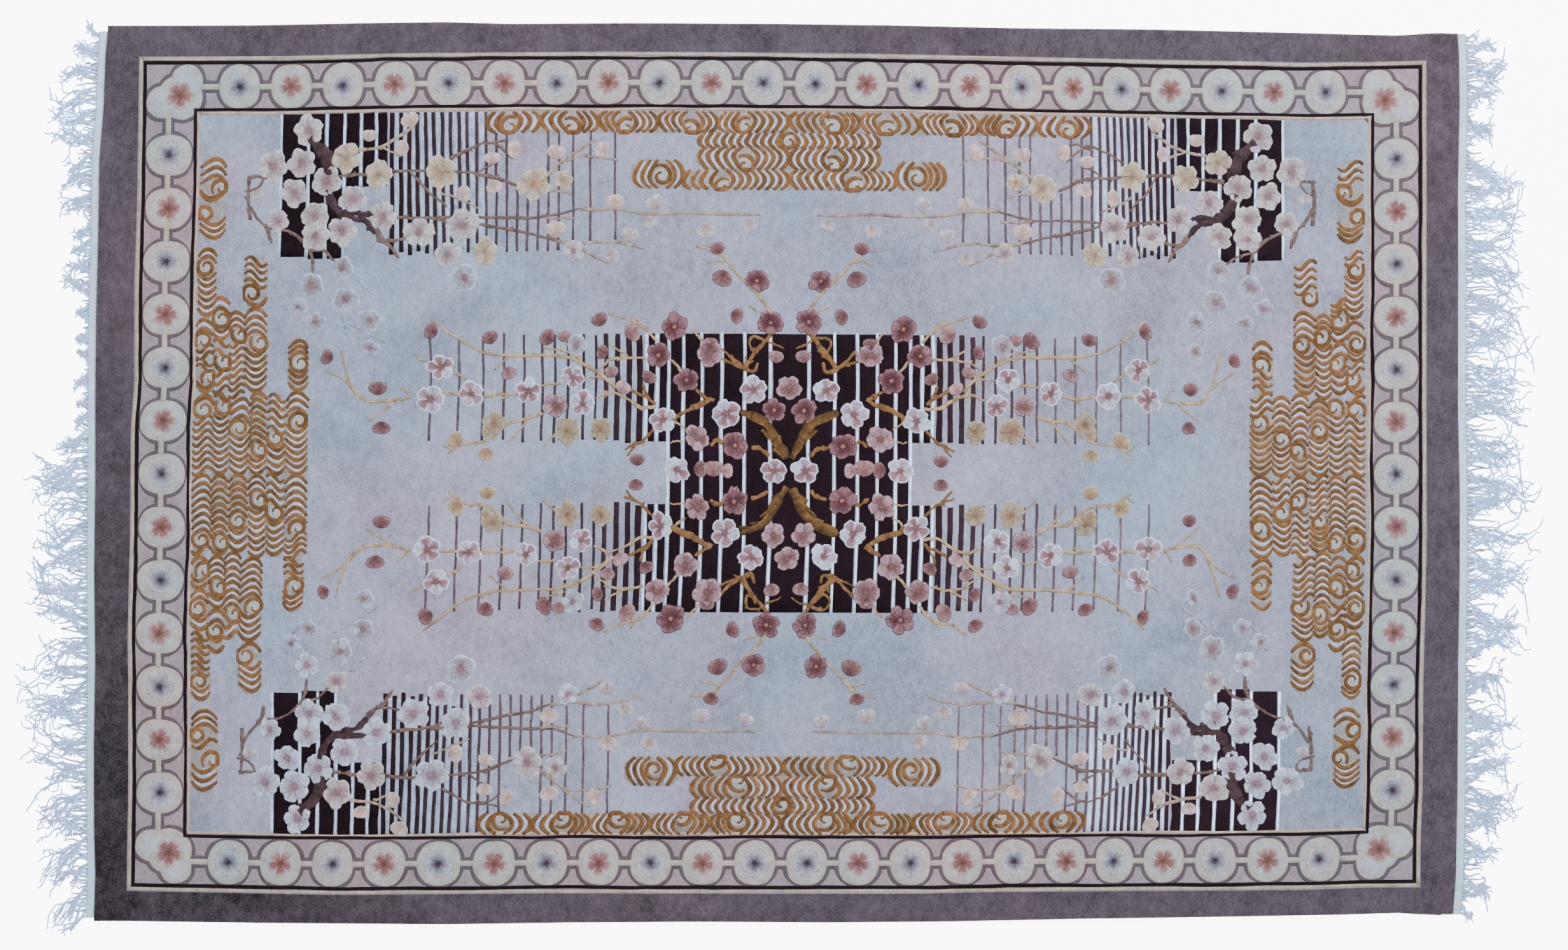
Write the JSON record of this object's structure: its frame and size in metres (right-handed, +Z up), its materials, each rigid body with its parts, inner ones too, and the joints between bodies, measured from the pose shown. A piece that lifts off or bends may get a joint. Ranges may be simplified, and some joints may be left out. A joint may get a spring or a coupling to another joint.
{
  "type": "oriental rug",
  "caption": "Flat carved-pile rug with a blossom field, a medallion border, overcast long edges and cotton fringe at both ends.",
  "frame": {"origin": "middle of the rug's underside, on the surface that it lies on", "axes": "+X along the rug's length, +Y across it, +Z up out of the pile"},
  "size_m": [2.0832, 1.2416, 0.0108],
  "materials": {
    "wool_pile": "cut wool pile, dense and slightly lustrous, with incised outlines",
    "selvedge_wool": "mauve-brown wool overcast on the side cords",
    "fringe_cotton": "undyed cotton warps, cool white, a ribbed flat-woven web and loose twisted fringe"
  },
  "bodies": {
    "root": {"pile": "wool_pile", "selvedge_top": "selvedge_wool", "selvedge_bottom": "selvedge_wool", "fringe_left": "fringe_cotton", "fringe_right": "fringe_cotton"}
  },
  "joints": []
}
